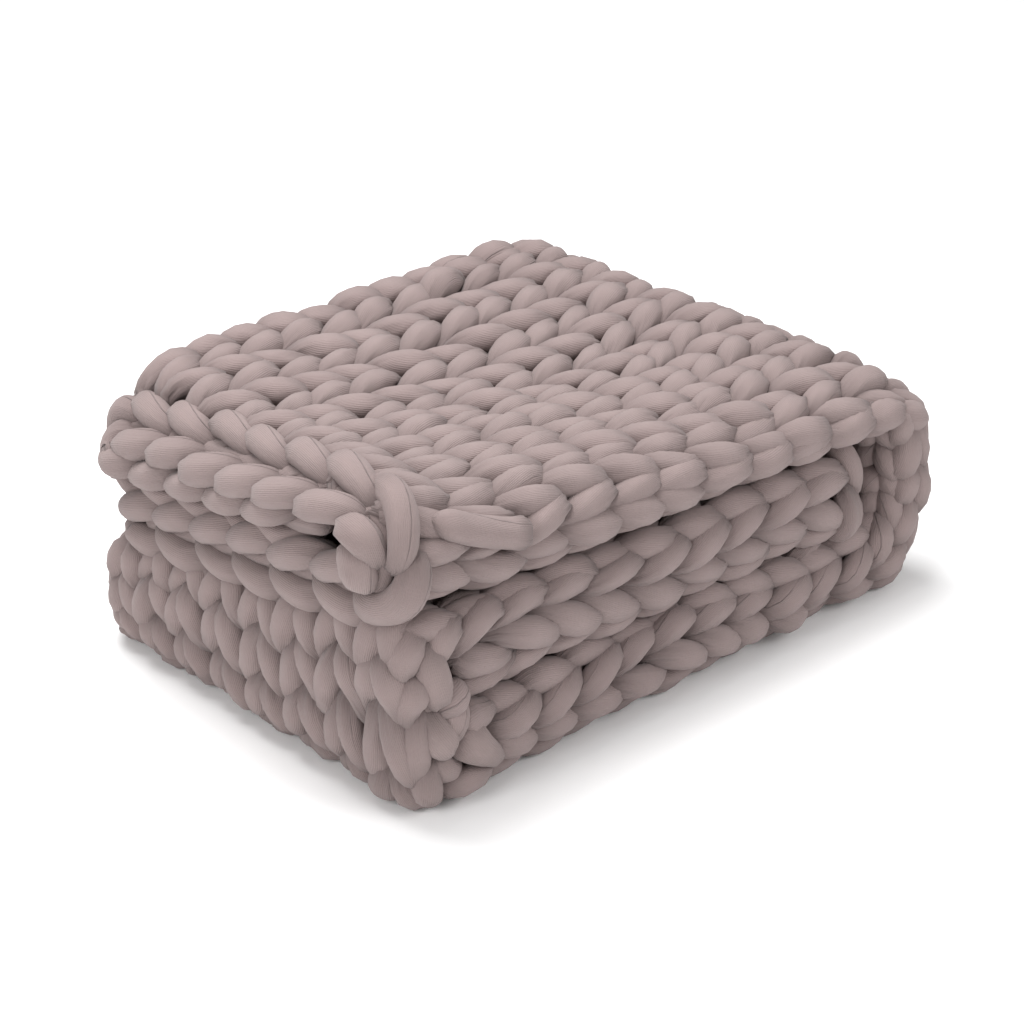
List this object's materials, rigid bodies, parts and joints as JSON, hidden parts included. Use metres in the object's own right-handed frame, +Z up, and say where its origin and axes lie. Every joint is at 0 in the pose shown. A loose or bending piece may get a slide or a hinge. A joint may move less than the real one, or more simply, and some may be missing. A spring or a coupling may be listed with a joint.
{
  "type": "weighted blanket",
  "caption": "Chunky hand-knit weighted blanket of plump stuffed tube yarn, folded into a thick soft stack that lies on a floor, bed or shelf.",
  "frame": {"origin": "centre of the bounding box in plan, on the surface the blanket lies on", "axes": "+Z up; +X along the wales of the top face, from the bind-off edges towards the outer turn; +Y across the wales, from the near fold towards the far fold"},
  "size_m": [0.6454, 0.417, 0.3015],
  "materials": {
    "mauve_jersey": "matt brushed cotton jersey, mauve-taupe"
  },
  "bodies": {
    "root": {"knit_blanket": "mauve_jersey"}
  },
  "joints": []
}
